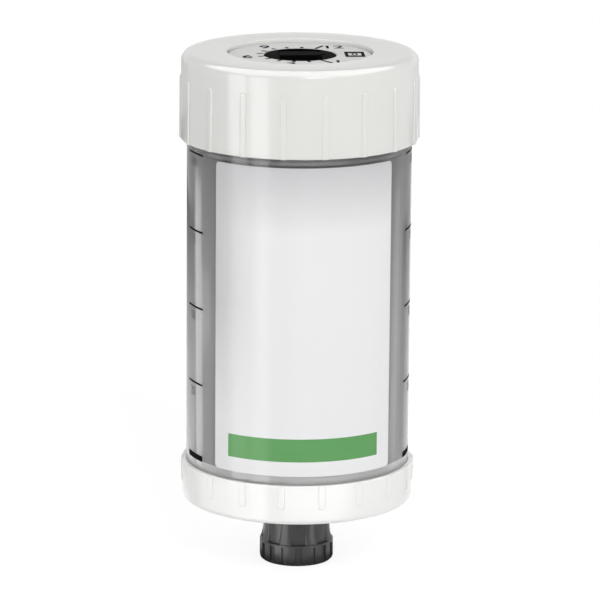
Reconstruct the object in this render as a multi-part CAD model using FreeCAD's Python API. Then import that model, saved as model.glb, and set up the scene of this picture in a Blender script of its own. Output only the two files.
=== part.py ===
import FreeCAD, Part
import math
import os

# Automatic single-point lubricator: a gas cell in the head drives a piston down a clear
# reservoir and presses the grease out of a taper-threaded outlet at the bottom.
# Millimetres. +Z runs up the common axis, z = 0 is the underside of the outlet plug,
# and the label faces -Y. Fine threads are left plain at their outer radius.

# ---- Reservoir tube, grease charge and label ----
tube_radius = 25.0
tube_wall = 1.1
charge_height = 69.3
grease_wall_gap = 0.05
label_thickness = 0.12
label_margin = 2.0           # bare tube below the label
label_height = 69.25
label_half_angle = 50.0
label_corner = 1.0

# ---- Outlet plug (screwed-on closure) and its sealing disc ----
plug_height = 14.5
plug_end_wall = 1.2
plug_rim_gap = 0.3           # between the plug's rim and the base
plug_wall = 0.68             # round the plug's thread
collar_reach = 0.8           # the collar stands this far out of the neck
collar_height = 4.9
collar_foot_edge = 1.0
collar_top_edge = 0.25
collar_band = 0.6            # unbroken ring above the collar's notches
collar_notches = 16
collar_notch_width = 1.0
collar_notch_depth = 0.5
plug_ribs = 8
plug_rib_phase = -22.4       # degrees round from the front
rib_top_width = 1.1
rib_foot_width = 2.5
rib_top_reach = 0.12         # how far a rib stands out of the neck at its upper end
rib_foot_reach = 0.72
rib_flare_height = 3.2       # a rib curves out to the collar over this height
plug_seal_height = 1.2
plug_seal_clearance = 0.1

# ---- Base: outlet spigot with R 1/4 taper thread, floor and tube socket ----
thread_gauge_radius = 6.58
thread_gauge_length = 6.0
thread_length = 10.6
thread_taper = 1.0 / 32.0    # radius gained per millimetre of length
thread_clearance = 0.1
relief_depth = 0.3           # plain neck above the thread
outlet_bore_radius = 2.75
outlet_countersink = 1.5
hub_margin = 0.8             # the hub stands this far out past the plug's neck
base_height = 9.0
base_wall = 1.0              # round the tube, at the rim
base_draft = 0.25            # radius lost from the rim to the foot
base_foot_edge = 1.2
base_rim_edge = 0.3
socket_depth = 6.2
socket_clearance = 0.05
floor_rise = 2.0             # floor above the top of the base's skirt
floor_thickness = 2.0
floor_clearance = 0.2        # round the raised floor, inside the tube
floor_wall = 2.5
base_ribs = 12
base_rib_thickness = 1.4
base_rib_recess = 1.0        # the ribs stop this far above the base's underside

# ---- Rounded grip ribs on the cap and the base ----
grips = 18
grip_phase = 8.7             # degrees round from the front
base_grip_width = 1.6
base_grip_height = 0.2
base_grip_length = 5.45      # down from the rim
cap_grip_width = 1.5
cap_grip_height = 0.3
cap_grip_length = 14.85      # up from the foot

# ---- Head cap (screws onto the tube and holds the drive unit) ----
cap_overlap = 15.35          # how far the cap reaches down over the tube
cap_top_wall = 2.0
cap_wall = 1.3               # round the tube, at the foot
cap_draft = 0.15             # radius lost from the foot to the top
cap_top_edge = 2.0
cap_hole_edge = 0.45
cap_foot_edge = 0.3
cap_thread_clearance = 0.15
cap_hole_clearance = 0.6

# ---- Piston and its two lip seals ----
piston_height = 7.0
piston_wall_clearance = 0.35
piston_floor = 2.0
piston_wall = 2.9
piston_ribs = 6
piston_rib_thickness = 1.2
piston_rib_recess = 1.5      # the ribs stop this far below the rim
piston_boss_radius = 4.0
lip_groove_height = 1.8
lip_groove_depth = 1.5
lip_groove_end = 1.0         # land at each end of the piston
lip_taper = 0.5
lip_running_clearance = 0.05
gas_space = 0.9              # above a full reservoir's piston

# ---- Drive unit housing, closed from below by its cover ----
disc_radius = 15.6
disc_recess = 0.9            # the disc lies this far below the cap's top
disc_wall = 1.6
disc_edge = 0.2
flange_clearance = 0.35      # inside the cap
flange_height = 2.0
skirt_clearance = 0.15
skirt_depth = 9.5
skirt_wall = 2.5
roof_wall = 1.5
ledge_width = 1.35           # step that holds the board's rim down
boss_wall = 1.2
boss_height = 2.0
cover_thickness = 1.6
cover_clearance = 0.05
cover_rebate = 0.7

# ---- Gas cell, batteries, board and contacts ----
cell_radius = 5.8
cell_gap = 0.45              # between a cell's cup and the ledge
cell_clearance = 0.15
cell_cup_wall = 0.9
cell_edge = 0.4
battery_height = 4.2
battery_step = 1.2           # the cap is this much smaller in radius than the can
battery_cap_height = 0.4
link_thickness = 0.3
link_width = 5.0
link_clearance = 0.15
gas_seal_height = 0.8
gas_seal_stand = 0.2         # how far the washer stands out of its pocket
gas_seal_inner_radius = 2.6
gas_seal_margin = 0.8        # the washer lies this far inside the cell's rim
gas_port_radius = 0.8
contact_height = 0.6         # leaf contact as pressed between a cell and the board
contact_thickness = 0.2
contact_width = 3.0
contact_half_length = 4.0
board_thickness = 1.0
board_clearance = 0.15
chip_size = 6.0
chip_height = 1.2
chip_offset = 1.6            # further out than the cells

# ---- Selector dial, its shaft, wiper and clip ----
dial_radius = 8.0
dial_clearance = 0.1
dial_sink = 1.1              # underside of the dial below the disc
dial_stand = 0.1             # face of the dial above the disc
dial_edge = 0.4
dial_rim_width = 0.9
well_depth = 0.9
well_half_length = 4.7
grip_width = 5.0
grip_height = 0.3            # grip bar above the dial's face
pointer_length = 1.6
pointer_dimple_radius = 0.5
pointer_dimple_depth = 0.4
shaft_radius = 2.5
shaft_clearance = 0.05
clip_thickness = 0.4
clip_reach = 1.5             # the clip stands this far out of the shaft
clip_groove_depth = 0.5
clip_gap = 0.15
clip_mouth_width = 3.2
wiper_thickness = 0.25
wiper_width = 3.6
wiper_reach = 7.0
wiper_gap = 0.1
wiper_tip_radius = 0.6
wiper_tip_height = 0.3

# ---- Round seals ----
seal_width = 1.45            # radial size of the two large rings in their grooves
seal_height = 1.8
seal_groove_clearance = 0.1
seal_edge = 0.6
base_seal_rise = 4.1         # middle of the base's ring above the tube's end
drive_seal_rise = 4.6        # middle of the drive unit's ring above its cover
dial_seal_width = 1.3
dial_seal_height = 1.4
dial_seal_edge = 0.5

# ---- Levels up the axis ----
plug_seal_z = plug_end_wall
spigot_z = plug_seal_z + plug_seal_height
base_z = plug_height + plug_rim_gap
skirt_top_z = base_z + base_height
tube_z = skirt_top_z - socket_depth
floor_z = skirt_top_z + floor_rise
label_z = skirt_top_z + label_margin
piston_z = floor_z + charge_height
piston_top_z = piston_z + piston_height
drive_z = piston_top_z + gas_space
cover_top_z = drive_z + cover_thickness
tube_top_z = drive_z + skirt_depth
flange_top_z = tube_top_z + flange_height
cap_top_z = flange_top_z + cap_top_wall
cap_z = tube_top_z - cap_overlap
disc_z = cap_top_z - disc_recess
battery_z = cover_top_z + link_thickness
battery_top_z = battery_z + battery_height
board_z = battery_top_z + contact_height
board_top_z = board_z + board_thickness
roof_z = flange_top_z - roof_wall
dial_z = disc_z - dial_sink
dial_face_z = disc_z + dial_stand
recess_z = dial_z - dial_clearance
boss_z = recess_z - boss_height
clip_z = boss_z - clip_gap - clip_thickness
wiper_tip_z = board_top_z + wiper_gap
wiper_z = wiper_tip_z + wiper_tip_height
gas_seal_z = cover_top_z + gas_seal_stand - gas_seal_height
gas_cell_z = cover_top_z + gas_seal_stand

# ---- Radii that follow from the fits ----
bore_radius = tube_radius - tube_wall
thread_tip_radius = thread_gauge_radius - thread_gauge_length * thread_taper
thread_root_radius = thread_tip_radius + thread_length * thread_taper
plug_bore_radius = thread_root_radius + thread_clearance
plug_neck_radius = plug_bore_radius + plug_wall
collar_radius = plug_neck_radius + collar_reach
relief_radius = thread_tip_radius - relief_depth
hub_radius = plug_neck_radius + hub_margin
base_radius = tube_radius + socket_clearance + base_wall
base_foot_radius = base_radius - base_draft
floor_radius = bore_radius - floor_clearance
floor_inner_radius = floor_radius - floor_wall
seal_groove_radius = bore_radius - seal_width
skirt_radius = bore_radius - skirt_clearance
skirt_inner_radius = skirt_radius - skirt_wall
rebate_radius = skirt_inner_radius + cover_rebate
ledge_radius = skirt_inner_radius - ledge_width
cap_bore_radius = tube_radius + cap_thread_clearance
cap_foot_radius = cap_bore_radius + cap_wall
cap_top_radius = cap_foot_radius - cap_draft
flange_radius = cap_bore_radius - flange_clearance
cap_hole_radius = disc_radius + cap_hole_clearance
piston_radius = bore_radius - piston_wall_clearance
lip_groove_radius = piston_radius - lip_groove_depth
dial_recess_radius = dial_radius + dial_clearance
boss_radius = dial_recess_radius + boss_wall
shaft_bore_radius = shaft_radius + shaft_clearance
dial_seal_radius = shaft_bore_radius + dial_seal_width
cell_cup_radius = cell_radius + cell_clearance
cell_pitch_radius = ledge_radius - cell_gap - cell_cup_wall - cell_cup_radius
battery_cap_radius = cell_radius - battery_step
gas_seal_outer_radius = cell_radius - gas_seal_margin
chip_pitch_radius = cell_pitch_radius + chip_offset
clip_radius = shaft_radius + clip_reach

# ---- Places of the cells round the axis, degrees ----
gas_cell_angle = 90.0
battery_left_angle = 210.0
battery_right_angle = 330.0
chip_angle = 30.0
battery_angles = {"battery_left": battery_left_angle, "battery_right": battery_right_angle}

AXIS = FreeCAD.Vector(0, 0, 1)
ORIGIN = FreeCAD.Vector(0, 0, 0)
FRONT = -90.0                # angle of -Y
PAST = 1.0                   # how far a cutter runs past the face it opens


def revolved(profile, angle=360.0):
    """Solid of revolution about Z from (radius, height) corners."""
    corners = [FreeCAD.Vector(r, 0, z) for r, z in profile]
    face = Part.Face(Part.makePolygon(corners + corners[:1]))
    return face.revolve(ORIGIN, AXIS, angle)


def disc(radius, low_z, high_z):
    return Part.makeCylinder(radius, high_z - low_z, FreeCAD.Vector(0, 0, low_z))


def ring(inner, outer, low_z, high_z):
    return disc(outer, low_z, high_z).cut(disc(inner, low_z, high_z))


def bar(x_min, x_max, width, low_z, high_z):
    """Block along X, centred on the X axis."""
    corner = FreeCAD.Vector(x_min, -width / 2.0, low_z)
    return Part.makeBox(x_max - x_min, width, high_z - low_z, corner)


def turned(shape, degrees):
    copy = shape.copy()
    copy.rotate(ORIGIN, AXIS, degrees)
    return copy


def at_radius(shape, radius, degrees):
    """A shape made on the axis, moved out to a radius and turned to face outwards."""
    copy = shape.copy()
    copy.translate(FreeCAD.Vector(radius, 0, 0))
    return turned(copy, degrees)


def repeated(shape, count, first):
    """Copies of a shape evenly round the axis, the first turned by `first` degrees."""
    return [turned(shape, first + 360.0 * i / count) for i in range(count)]


def rims(shape, *places):
    """Circular edges about the axis at each (radius, height)."""
    found = []
    for edge in shape.Edges:
        if not isinstance(edge.Curve, Part.Circle):
            continue
        for radius, z in places:
            off = abs(edge.Curve.Radius - radius) + abs(edge.Curve.Center.z - z)
            if off < 1e-4:
                found.append(edge)
    return found


def grip_rib(foot, end, width, height, foot_edge):
    """Grip rib at angle 0 on a wall that leans from the (radius, z) foot to the end.

    Its sides slope, its foot is chamfered like the wall's own, and its end runs out.
    """
    up = math.copysign(1.0, end[1] - foot[1])
    inner = min(foot[0], end[0]) - height
    side = [
        (inner, foot[1]),
        (foot[0] + height - foot_edge, foot[1]),
        (foot[0] + height, foot[1] + up * foot_edge),
        (end[0] + height, end[1] - up * width / 2.0),
        (end[0], end[1]),
        (inner, end[1]),
    ]
    section = [
        (inner, -width / 2.0),
        (end[0], -width / 2.0),
        (foot[0] + height, -width / 4.0),
        (foot[0] + height, width / 4.0),
        (end[0], width / 2.0),
        (inner, width / 2.0),
    ]
    low = min(foot[1], end[1])
    outline = [FreeCAD.Vector(r, -width, z) for r, z in side]
    rib = Part.Face(Part.makePolygon(outline + outline[:1]))
    rib = rib.extrude(FreeCAD.Vector(0, 2.0 * width, 0))
    outline = [FreeCAD.Vector(x, y, low) for x, y in section]
    sides = Part.Face(Part.makePolygon(outline + outline[:1]))
    return rib.common(sides.extrude(FreeCAD.Vector(0, 0, abs(end[1] - foot[1]))))


def seal_ring(inner, outer, middle_z, height, edge):
    """Elastomer ring as squeezed in its groove: flat on four sides, its corners taken off."""
    low = middle_z - height / 2.0
    high = middle_z + height / 2.0
    body = ring(inner, outer, low, high)
    corners = rims(body, (inner, low), (outer, low), (inner, high), (outer, high))
    return body.makeChamfer(edge, corners)


def make_reservoir():
    """Clear tube, open at both ends."""
    return ring(bore_radius, tube_radius, tube_z, tube_top_z)


def make_grease():
    """Full charge: the tube up to the piston, and the outlet bore below the floor."""
    charge = disc(bore_radius - grease_wall_gap, floor_z, piston_z)
    stem = disc(outlet_bore_radius - grease_wall_gap, spigot_z, floor_z)
    return charge.fuse(stem).removeSplitter()


def make_label():
    """Thin film wrapped on the front of the tube, with rounded corners."""
    outer = tube_radius + label_thickness
    high = label_z + label_height
    film = revolved(
        [(tube_radius, label_z), (outer, label_z), (outer, high), (tube_radius, high)],
        2.0 * label_half_angle,
    )
    corners = [e for e in film.Edges if abs(e.Length - label_thickness) < 1e-6]
    film = film.makeFillet(label_corner, corners)
    return turned(film, FRONT - label_half_angle)


def make_base():
    """Moulded foot: threaded outlet spigot, raised floor, tube socket and gripped skirt."""
    thread_top_z = spigot_z + thread_length
    ceiling_z = floor_z - floor_thickness
    body = revolved([
        (outlet_bore_radius, spigot_z),
        (thread_tip_radius, spigot_z),
        (thread_root_radius, thread_top_z),
        (relief_radius, thread_top_z),
        (relief_radius, base_z),
        (hub_radius, base_z),
        (hub_radius, ceiling_z),
        (floor_inner_radius, ceiling_z),
        (floor_inner_radius, base_z),
        (base_foot_radius, base_z),
        (base_radius, skirt_top_z),
        (tube_radius + socket_clearance, skirt_top_z),
        (tube_radius + socket_clearance, tube_z),
        (floor_radius, tube_z),
        (floor_radius, floor_z),
        (outlet_bore_radius + outlet_countersink, floor_z),
        (outlet_bore_radius, floor_z - outlet_countersink),
    ])
    body = body.makeFillet(base_foot_edge, rims(body, (base_foot_radius, base_z)))
    body = body.makeChamfer(base_rim_edge, rims(body, (base_radius, skirt_top_z)))
    middle = tube_z + base_seal_rise
    half = seal_height / 2.0 + seal_groove_clearance
    body = body.cut(ring(seal_groove_radius, floor_radius + PAST, middle - half, middle + half))
    rib = bar(
        hub_radius - PAST, floor_inner_radius + PAST, base_rib_thickness,
        base_z + base_rib_recess, ceiling_z,
    )
    body = body.fuse(repeated(rib, base_ribs, FRONT)).removeSplitter()
    grip = grip_rib(
        (base_radius, skirt_top_z),
        (base_radius - base_draft * base_grip_length / base_height,
         skirt_top_z - base_grip_length),
        base_grip_width, base_grip_height, base_rim_edge,
    )
    return body.fuse(repeated(grip, grips, FRONT + grip_phase)).removeSplitter()


def make_base_seal():
    return seal_ring(
        seal_groove_radius, bore_radius, tube_z + base_seal_rise, seal_height, seal_edge
    )


def make_plug():
    """Screw-on closure: threaded cup with a ribbed neck and a notched grip collar."""
    cup = disc(plug_neck_radius, 0.0, plug_height)
    collar = disc(collar_radius, 0.0, collar_height)
    collar = collar.makeFillet(collar_foot_edge, rims(collar, (collar_radius, 0.0)))
    collar = collar.makeChamfer(collar_top_edge, rims(collar, (collar_radius, collar_height)))
    body = cup.common(disc(collar_radius, collar_height / 2.0, plug_height)).fuse(collar)
    ribs = repeated(make_plug_rib(), plug_ribs, FRONT + plug_rib_phase)
    body = body.fuse(ribs).removeSplitter()
    notch = bar(
        collar_radius - collar_notch_depth, collar_radius + PAST, collar_notch_width,
        -PAST, collar_height - collar_band,
    )
    body = body.cut(repeated(notch, collar_notches, FRONT + plug_rib_phase))
    return body.cut(disc(plug_bore_radius, plug_end_wall, plug_height + PAST))


def make_plug_rib():
    """Rib on the plug's neck at angle 0: low and narrow above, flaring out to the collar."""
    foot_z = collar_height - collar_top_edge
    flare_z = collar_height + rib_flare_height
    crest = plug_neck_radius + rib_top_reach
    foot = plug_neck_radius + rib_foot_reach
    drop = flare_z - foot_z
    bend = ((foot - crest) ** 2 + drop ** 2) / (2.0 * (foot - crest))
    half_turn = math.asin(drop / bend) / 2.0
    top_root, top_crest, flare_start, flare_middle, flare_end, foot_root = [
        FreeCAD.Vector(radius, -rib_foot_width, z) for radius, z in (
            (plug_bore_radius, plug_height),
            (crest, plug_height),
            (crest, flare_z),
            (crest + bend * (1.0 - math.cos(half_turn)), flare_z - bend * math.sin(half_turn)),
            (foot, foot_z),
            (plug_bore_radius, foot_z),
        )
    ]
    flare = Part.Arc(flare_start, flare_middle, flare_end).toShape()
    back = Part.makePolygon([flare_end, foot_root, top_root, top_crest, flare_start])
    side = Part.Face(Part.Wire(back.Edges + [flare]))
    blank = side.extrude(FreeCAD.Vector(0, 2.0 * rib_foot_width, 0))
    corners = [
        FreeCAD.Vector(plug_bore_radius, y, z) for y, z in (
            (-rib_foot_width / 2.0, foot_z),
            (rib_foot_width / 2.0, foot_z),
            (rib_top_width / 2.0, plug_height),
            (-rib_top_width / 2.0, plug_height),
        )
    ]
    front = Part.Face(Part.makePolygon(corners + corners[:1]))
    return blank.common(front.extrude(FreeCAD.Vector(foot, 0, 0)))


def make_plug_seal():
    """Soft disc in the plug's end that closes the outlet."""
    return disc(plug_bore_radius - plug_seal_clearance, plug_seal_z, spigot_z)


def make_head_cap():
    """Screw cap with grip ribs; its open top shows the drive unit's disc."""
    body = revolved([
        (cap_hole_radius, cap_top_z),
        (cap_top_radius, cap_top_z),
        (cap_foot_radius, cap_z),
        (cap_bore_radius, cap_z),
        (cap_bore_radius, flange_top_z),
        (cap_hole_radius, flange_top_z),
    ])
    body = body.makeFillet(cap_top_edge, rims(body, (cap_top_radius, cap_top_z)))
    body = body.makeChamfer(cap_hole_edge, rims(body, (cap_hole_radius, cap_top_z)))
    body = body.makeChamfer(cap_foot_edge, rims(body, (cap_foot_radius, cap_z)))
    grip = grip_rib(
        (cap_foot_radius, cap_z),
        (cap_foot_radius - cap_draft * cap_grip_length / (cap_top_z - cap_z),
         cap_z + cap_grip_length),
        cap_grip_width, cap_grip_height, cap_foot_edge,
    )
    return body.fuse(repeated(grip, grips, FRONT + grip_phase)).removeSplitter()


def make_piston():
    """Cup piston, stiffened by ribs, with a groove for each lip seal."""
    inner = piston_radius - piston_wall
    web_z = piston_z + piston_floor
    rib_top_z = piston_top_z - piston_rib_recess
    body = revolved([
        (0.0, piston_z),
        (piston_radius, piston_z),
        (piston_radius, piston_top_z),
        (inner, piston_top_z),
        (inner, web_z),
        (0.0, web_z),
    ])
    rib = bar(0.0, inner + PAST, piston_rib_thickness, piston_z, rib_top_z)
    boss = disc(piston_boss_radius, piston_z, rib_top_z)
    body = body.fuse(repeated(rib, piston_ribs, FRONT) + [boss]).removeSplitter()
    for low in lip_groove_levels():
        groove = ring(lip_groove_radius, piston_radius + PAST, low, low + lip_groove_height)
        body = body.cut(groove)
    return body


def lip_groove_levels():
    """Lower faces of the two seal grooves, the grease side's first."""
    return (
        piston_z + lip_groove_end,
        piston_top_z - lip_groove_end - lip_groove_height,
    )


def make_lip_seal(low, lip_down):
    """Lip seal in its groove, its lip towards the side it holds back."""
    high = low + lip_groove_height
    lip = bore_radius - lip_running_clearance
    heel = lip - lip_taper
    foot_radius = lip if lip_down else heel
    head_radius = heel if lip_down else lip
    return revolved([
        (lip_groove_radius, low),
        (foot_radius, low),
        (head_radius, high),
        (lip_groove_radius, high),
    ])


def make_drive_housing():
    """Drive unit shell: dial disc and bearing, clamping flange and sealed skirt."""
    ceiling_z = disc_z - disc_wall
    body = revolved([
        (dial_recess_radius, disc_z),
        (disc_radius, disc_z),
        (disc_radius, flange_top_z),
        (flange_radius, flange_top_z),
        (flange_radius, tube_top_z),
        (skirt_radius, tube_top_z),
        (skirt_radius, drive_z),
        (rebate_radius, drive_z),
        (rebate_radius, cover_top_z),
        (skirt_inner_radius, cover_top_z),
        (skirt_inner_radius, board_top_z),
        (ledge_radius, board_top_z),
        (ledge_radius, roof_z),
        (disc_radius - disc_wall, roof_z),
        (disc_radius - disc_wall, ceiling_z),
        (boss_radius, ceiling_z),
        (boss_radius, boss_z),
        (dial_seal_radius, boss_z),
        (dial_seal_radius, boss_z + dial_seal_height),
        (shaft_bore_radius, boss_z + dial_seal_height),
        (shaft_bore_radius, recess_z),
        (dial_recess_radius, recess_z),
    ])
    body = body.makeChamfer(disc_edge, rims(body, (disc_radius, disc_z)))
    middle = cover_top_z + drive_seal_rise
    half = seal_height / 2.0 + seal_groove_clearance
    return body.cut(ring(seal_groove_radius, skirt_radius + PAST, middle - half, middle + half))


def make_drive_seal():
    return seal_ring(
        seal_groove_radius, bore_radius, cover_top_z + drive_seal_rise, seal_height, seal_edge
    )


def make_drive_cover():
    """Lower cover: a cup for each cell, the gas port and the channel for the link strip."""
    plate = disc(rebate_radius - cover_clearance, drive_z, cover_top_z)
    cup = disc(cell_cup_radius + cell_cup_wall, cover_top_z, board_z)
    well = disc(cell_cup_radius, cover_top_z, board_z + PAST)
    for angle in [gas_cell_angle] + list(battery_angles.values()):
        cup_here = at_radius(cup.cut(well), cell_pitch_radius, angle)
        plate = plate.fuse(cup_here)
    pocket = disc(gas_seal_outer_radius, gas_seal_z, cover_top_z + PAST)
    port = disc(gas_port_radius, drive_z - PAST, cover_top_z)
    plate = plate.cut(at_radius(pocket.fuse(port), cell_pitch_radius, gas_cell_angle))
    channel = link_strip(link_width + 2.0 * link_clearance)
    return plate.cut(channel).removeSplitter()


def link_strip(width):
    """Strip between the two battery places, lying on the cover."""
    ends = [math.radians(a) for a in battery_angles.values()]
    y = cell_pitch_radius * math.sin(ends[0])
    left, right = (cell_pitch_radius * math.cos(a) for a in ends)
    strip = bar(left, right, width, cover_top_z, battery_z)
    for x in (left, right):
        end = disc(width / 2.0, cover_top_z, battery_z)
        end.translate(FreeCAD.Vector(x, 0, 0))
        strip = strip.fuse(end)
    strip.translate(FreeCAD.Vector(0, y, 0))
    return strip.removeSplitter()


def make_battery(angle):
    """Button cell, its smaller cap upwards."""
    shoulder_z = battery_top_z - battery_cap_height
    can = disc(cell_radius, battery_z, shoulder_z)
    can = can.makeChamfer(cell_edge, rims(can, (cell_radius, shoulder_z)))
    cap = disc(battery_cap_radius, shoulder_z - cell_edge, battery_top_z)
    return at_radius(can.fuse(cap), cell_pitch_radius, angle)


def make_gas_cell():
    """Gas-generating cell, open through its washer into the space above the piston."""
    can = disc(cell_radius, gas_cell_z, battery_top_z)
    can = can.makeChamfer(cell_edge, rims(can, (cell_radius, battery_top_z)))
    vent = disc(gas_port_radius, gas_cell_z, gas_cell_z + cell_edge)
    return at_radius(can.cut(vent), cell_pitch_radius, gas_cell_angle)


def make_gas_seal():
    washer = ring(gas_seal_inner_radius, gas_seal_outer_radius, gas_seal_z, gas_cell_z)
    return at_radius(washer, cell_pitch_radius, gas_cell_angle)


def make_contact(angle):
    """Arched leaf contact pressed between a cell and the board."""
    rise = contact_height - contact_thickness
    arcs = []
    for z in (battery_top_z, battery_top_z + contact_thickness):
        arcs.append(Part.Arc(
            FreeCAD.Vector(-contact_half_length, 0, z),
            FreeCAD.Vector(0, 0, z + rise),
            FreeCAD.Vector(contact_half_length, 0, z),
        ).toShape())
    lower, upper = arcs
    sides = [
        Part.makeLine(lower.Vertexes[i].Point, upper.Vertexes[i].Point) for i in (0, -1)
    ]
    face = Part.Face(Part.Wire(Part.__sortEdges__([lower, upper] + sides)))
    leaf = face.extrude(FreeCAD.Vector(0, contact_width, 0))
    leaf.translate(FreeCAD.Vector(0, -contact_width / 2.0, 0))
    return at_radius(leaf, cell_pitch_radius, angle)


def make_board():
    return disc(skirt_inner_radius - board_clearance, board_z, board_top_z)


def make_chip():
    chip = bar(-chip_size / 2.0, chip_size / 2.0, chip_size, board_top_z, board_top_z + chip_height)
    return at_radius(chip, chip_pitch_radius, chip_angle)


def make_dial():
    """Selector: face with two finger wells, a pointed grip bar between them, and its shaft."""
    face = disc(dial_radius, dial_z, dial_face_z)
    face = face.makeChamfer(dial_edge, rims(face, (dial_radius, dial_face_z)))
    wells = disc(dial_radius - dial_rim_width, dial_face_z - well_depth, dial_face_z + PAST)
    wells = wells.common(
        bar(-well_half_length, well_half_length, 2.0 * dial_radius, dial_z, dial_face_z + PAST)
    )
    wells = wells.cut(bar(-dial_radius, dial_radius, grip_width, dial_z, dial_face_z + PAST))
    dimple_x = well_half_length + pointer_dimple_radius
    dimple = disc(pointer_dimple_radius, dial_face_z - pointer_dimple_depth, dial_face_z + PAST)
    dimple.translate(FreeCAD.Vector(dimple_x, 0, 0))
    face = face.cut([wells, dimple])
    shaft = disc(shaft_radius, wiper_tip_z, dial_z)
    body = face.fuse([make_grip(), shaft]).removeSplitter()
    inner = shaft_radius - clip_groove_depth
    return body.cut(ring(inner, shaft_radius + PAST, clip_z, clip_z + clip_thickness))


def make_grip():
    """Raised bar across the dial, its end towards +X drawn in to a pointer."""
    half = grip_width / 2.0
    corners = [
        (-well_half_length, -half),
        (well_half_length - pointer_length, -half),
        (well_half_length, -half + pointer_length),
        (well_half_length, half - pointer_length),
        (well_half_length - pointer_length, half),
        (-well_half_length, half),
    ]
    low = dial_face_z - well_depth
    points = [FreeCAD.Vector(x, y, low) for x, y in corners]
    outline = Part.Face(Part.makePolygon(points + points[:1]))
    return outline.extrude(FreeCAD.Vector(0, 0, well_depth + grip_height))


def make_dial_seal():
    return seal_ring(
        shaft_bore_radius, dial_seal_radius, boss_z + dial_seal_height / 2.0,
        dial_seal_height, dial_seal_edge,
    )


def make_dial_clip():
    """Open retaining ring that snaps into the shaft's groove."""
    inner = shaft_radius - clip_groove_depth
    clip = ring(inner, clip_radius, clip_z, clip_z + clip_thickness)
    mouth = bar(0.0, clip_radius + PAST, clip_mouth_width, clip_z - PAST, clip_z + PAST)
    return clip.cut(mouth)


def make_wiper():
    """Two-armed contact spring pressed onto the shaft's end, a dimple at each tip."""
    blade = bar(-wiper_reach, wiper_reach, wiper_width, wiper_z, wiper_z + wiper_thickness)
    hub = disc(shaft_radius + wiper_width / 3.0, wiper_z, wiper_z + wiper_thickness)
    blade = blade.fuse(hub).removeSplitter()
    tip = disc(wiper_tip_radius, wiper_tip_z, wiper_z)
    tip = at_radius(tip, wiper_reach - 2.0 * wiper_tip_radius, 0.0)
    return blade.fuse(repeated(tip, 2, 0.0)).cut(disc(shaft_radius, wiper_tip_z, wiper_z + PAST))


def make_parts():
    lower_groove_z, upper_groove_z = lip_groove_levels()
    parts = {
        "reservoir": make_reservoir(),
        "grease": make_grease(),
        "label": make_label(),
        "base": make_base(),
        "base_seal": make_base_seal(),
        "outlet_plug": make_plug(),
        "plug_seal": make_plug_seal(),
        "head_cap": make_head_cap(),
        "piston": make_piston(),
        "lower_lip_seal": make_lip_seal(lower_groove_z, True),
        "upper_lip_seal": make_lip_seal(upper_groove_z, False),
        "drive_housing": make_drive_housing(),
        "drive_seal": make_drive_seal(),
        "drive_cover": make_drive_cover(),
        "battery_link": link_strip(link_width),
        "gas_cell": make_gas_cell(),
        "gas_cell_seal": make_gas_seal(),
        "gas_cell_contact": make_contact(gas_cell_angle),
        "circuit_board": make_board(),
        "control_chip": make_chip(),
        "selector_dial": make_dial(),
        "dial_seal": make_dial_seal(),
        "dial_clip": make_dial_clip(),
        "dial_wiper": make_wiper(),
    }
    for name, angle in battery_angles.items():
        parts[name] = make_battery(angle)
        parts[name + "_contact"] = make_contact(angle)
    return parts


os.makedirs("parts", exist_ok=True)
for name, shape in make_parts().items():
    shape.exportStep("parts/" + name + ".step")
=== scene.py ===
import math
import bmesh
import bpy
from mathutils import Matrix, Vector


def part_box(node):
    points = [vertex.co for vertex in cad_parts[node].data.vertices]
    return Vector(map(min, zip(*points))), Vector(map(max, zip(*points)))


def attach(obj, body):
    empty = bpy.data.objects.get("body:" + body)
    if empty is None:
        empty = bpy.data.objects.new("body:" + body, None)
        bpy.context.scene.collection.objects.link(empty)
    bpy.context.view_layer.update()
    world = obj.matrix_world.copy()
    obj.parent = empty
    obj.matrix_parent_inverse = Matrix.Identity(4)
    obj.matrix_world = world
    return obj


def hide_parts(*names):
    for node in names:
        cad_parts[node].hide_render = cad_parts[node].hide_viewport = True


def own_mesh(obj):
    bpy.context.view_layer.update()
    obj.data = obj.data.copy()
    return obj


# Automatic lubricator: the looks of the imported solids. The object stands on its outlet plug
# about the upright axis, its label towards -Y. Sizes in the sections are millimetres.
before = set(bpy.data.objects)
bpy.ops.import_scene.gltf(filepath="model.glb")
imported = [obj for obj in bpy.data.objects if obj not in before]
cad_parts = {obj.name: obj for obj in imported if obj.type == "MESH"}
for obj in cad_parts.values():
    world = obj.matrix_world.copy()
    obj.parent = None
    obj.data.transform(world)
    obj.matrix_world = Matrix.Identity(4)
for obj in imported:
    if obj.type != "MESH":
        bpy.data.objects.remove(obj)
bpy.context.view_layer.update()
MM = 0.001


# ---- Camera ----
# A long lens, a little above the object and a touch to the left of the label's middle. It is
# rolled by half a degree, as a camera set by hand is.
camera_turn = math.radians(-3.7)
camera_pitch = 0.2313
camera_roll = 0.0079
camera_seat = (0.4, -948.0, 283.2)
film_width = 36.0
lens_length = 260.8
view_reach = 20.0
bpy.ops.object.camera_add()
camera = bpy.context.object
camera.matrix_world = (
    Matrix.Rotation(camera_turn, 4, "Z")
    @ Matrix.Translation(Vector(camera_seat) * MM)
    @ Matrix.Rotation(math.pi / 2 - camera_pitch, 4, "X")
    @ Matrix.Rotation(camera_roll, 4, "Z")
)
camera.data.sensor_width = film_width
camera.data.lens = lens_length
camera.data.clip_end = view_reach
bpy.context.scene.camera = camera
bpy.context.scene.view_settings.view_transform = "Standard"


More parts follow.
